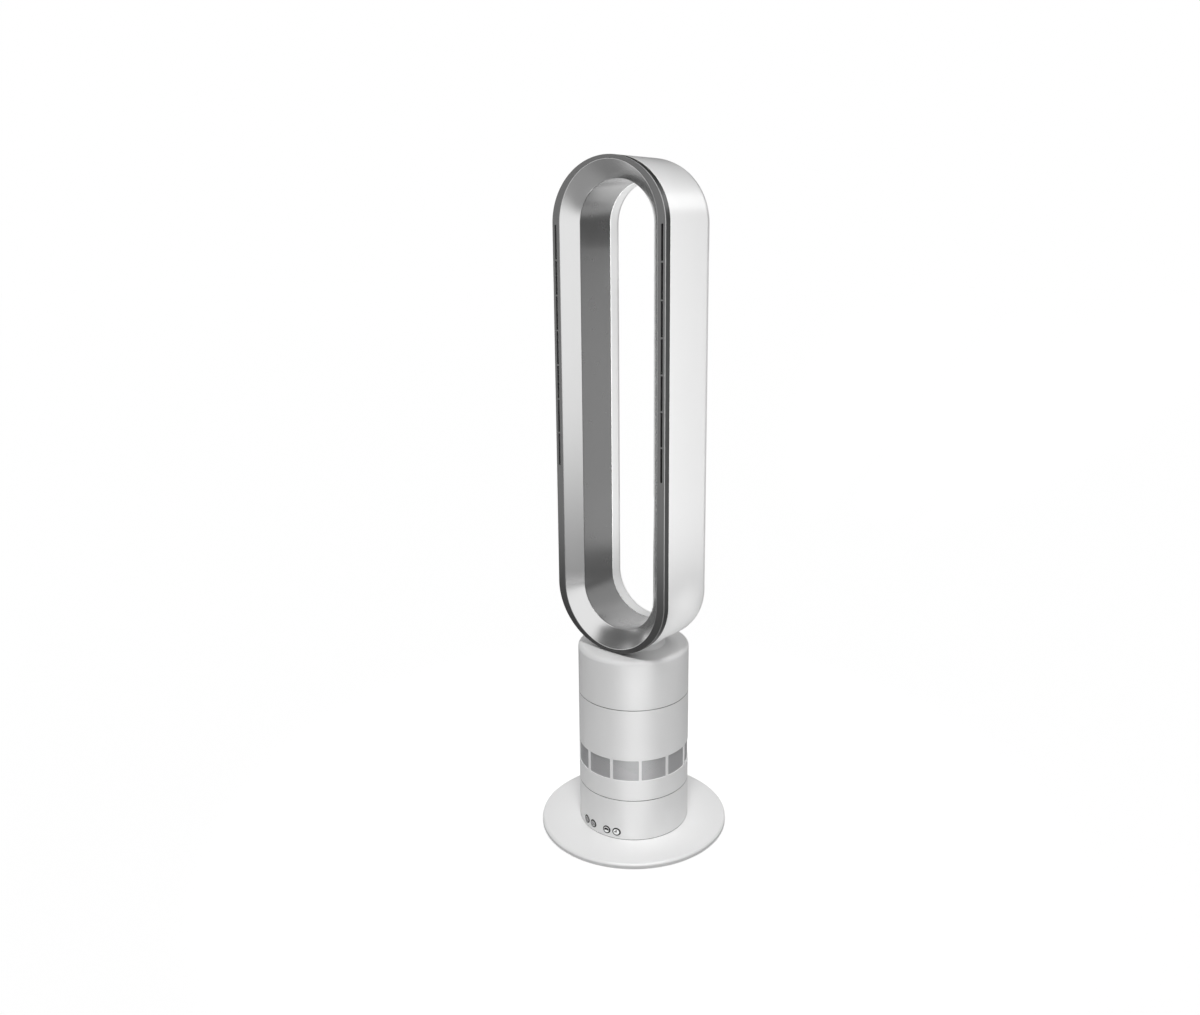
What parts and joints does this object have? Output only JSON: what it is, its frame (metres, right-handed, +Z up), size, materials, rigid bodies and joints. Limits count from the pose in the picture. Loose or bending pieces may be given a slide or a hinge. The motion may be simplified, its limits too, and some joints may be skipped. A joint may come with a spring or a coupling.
{
  "type": "bladeless fan",
  "caption": "Bladeless tower fan with a tall racetrack air loop on a round body that swings from side to side over a flat round foot, with front push buttons.",
  "frame": {"origin": "on the floor under the round body's axis, at the middle of the foot", "axes": "+Z up, -Y towards the front of the loop and the buttons, +X to the right of a person who faces the buttons"},
  "size_m": [0.256, 0.256, 0.8942],
  "materials": {
    "white_plastic": "satin white moulded plastic",
    "trim_plastic": "satin graphite grey plastic",
    "dark_plastic": "satin dark grey plastic",
    "silver_finish": "satin silver metallised plastic",
    "button_plastic": "grey moulded caps with pale symbols",
    "screen_metal": "perforated sheet, painted grey",
    "steel": "zinc-plated steel",
    "rubber": "black rubber",
    "inner_plastic": "unpainted grey moulding",
    "bearing_plastic": "natural low-friction plastic",
    "inlet_plastic": "black moulded inlet with steel pins",
    "circuit_board": "green circuit board",
    "magnet": "dark sintered magnet"
  },
  "bodies": {
    "base": {"foot_cover": "white_plastic", "ballast_plate": "steel", "rubber_pads": "rubber", "foot_screws": "steel", "foot_gasket": "rubber", "control_housing": "white_plastic", "pivot_plate": "inner_plastic", "pivot_screws": "steel", "glide_ring": "bearing_plastic", "pivot_retainer": "inner_plastic", "button_board": "circuit_board", "power_inlet": "inlet_plastic", "power_board": "circuit_board", "turning_motor": "steel"},
    "pinion": {"pinion_shaft": "steel", "drive_pinion": "bearing_plastic"},
    "power_button": {"button_power": "button_plastic"},
    "speed_button": {"button_speed": "button_plastic"},
    "swing_button": {"button_swing": "button_plastic"},
    "timer_button": {"button_timer": "button_plastic"},
    "head": {"turntable": "inner_plastic", "turntable_gear": "inner_plastic", "turntable_screws": "steel", "middle_housing": "white_plastic", "intake_screen": "screen_metal", "driver_board": "circuit_board", "fan_shroud": "inner_plastic", "diffuser": "inner_plastic", "motor_bucket": "inner_plastic", "motor_cap": "inner_plastic", "motor_bearings": "steel", "motor_mounts": "rubber", "motor_stator": "steel", "head_seal": "rubber", "upper_housing": "white_plastic", "air_funnel": "inner_plastic", "neck_saddle": "white_plastic", "rear_shell": "white_plastic", "slot_nozzles": "dark_plastic", "inner_wall": "dark_plastic", "flare_ring": "silver_finish", "front_trim": "trim_plastic"},
    "rotor": {"motor_shaft": "steel", "motor_rotor": "magnet", "impeller": "dark_plastic"}
  },
  "joints": [
    {"name": "head_swing", "type": "hinge", "parent": "base", "child": "head", "pos_m": [0, 0, 0.0658], "axis": [0, 0, 1], "range_deg": [-40, 40]},
    {"name": "pinion_turn", "type": "hinge", "parent": "base", "child": "pinion", "pos_m": [0.05, 0, 0.064], "axis": [0, 0, 1], "range_deg": [-160, 160]},
    {"name": "impeller_spin", "type": "hinge", "parent": "head", "child": "rotor", "pos_m": [0, 0, 0.15], "axis": [0, 0, 1], "continuous": true},
    {"name": "power_press", "type": "slide", "parent": "base", "child": "power_button", "axis": [0, 1, 0], "range_m": [0, 0.0005], "stiffness_N_per_m": 400},
    {"name": "speed_press", "type": "slide", "parent": "base", "child": "speed_button", "axis": [0, 1, 0], "range_m": [0, 0.0005], "stiffness_N_per_m": 400},
    {"name": "swing_press", "type": "slide", "parent": "base", "child": "swing_button", "axis": [0, 1, 0], "range_m": [0, 0.0005], "stiffness_N_per_m": 400},
    {"name": "timer_press", "type": "slide", "parent": "base", "child": "timer_button", "axis": [0, 1, 0], "range_m": [0, 0.0005], "stiffness_N_per_m": 400}
  ],
  "couplings": [
    {"joint": "pinion_turn", "follows": "head_swing", "ratio": -4}
  ]
}
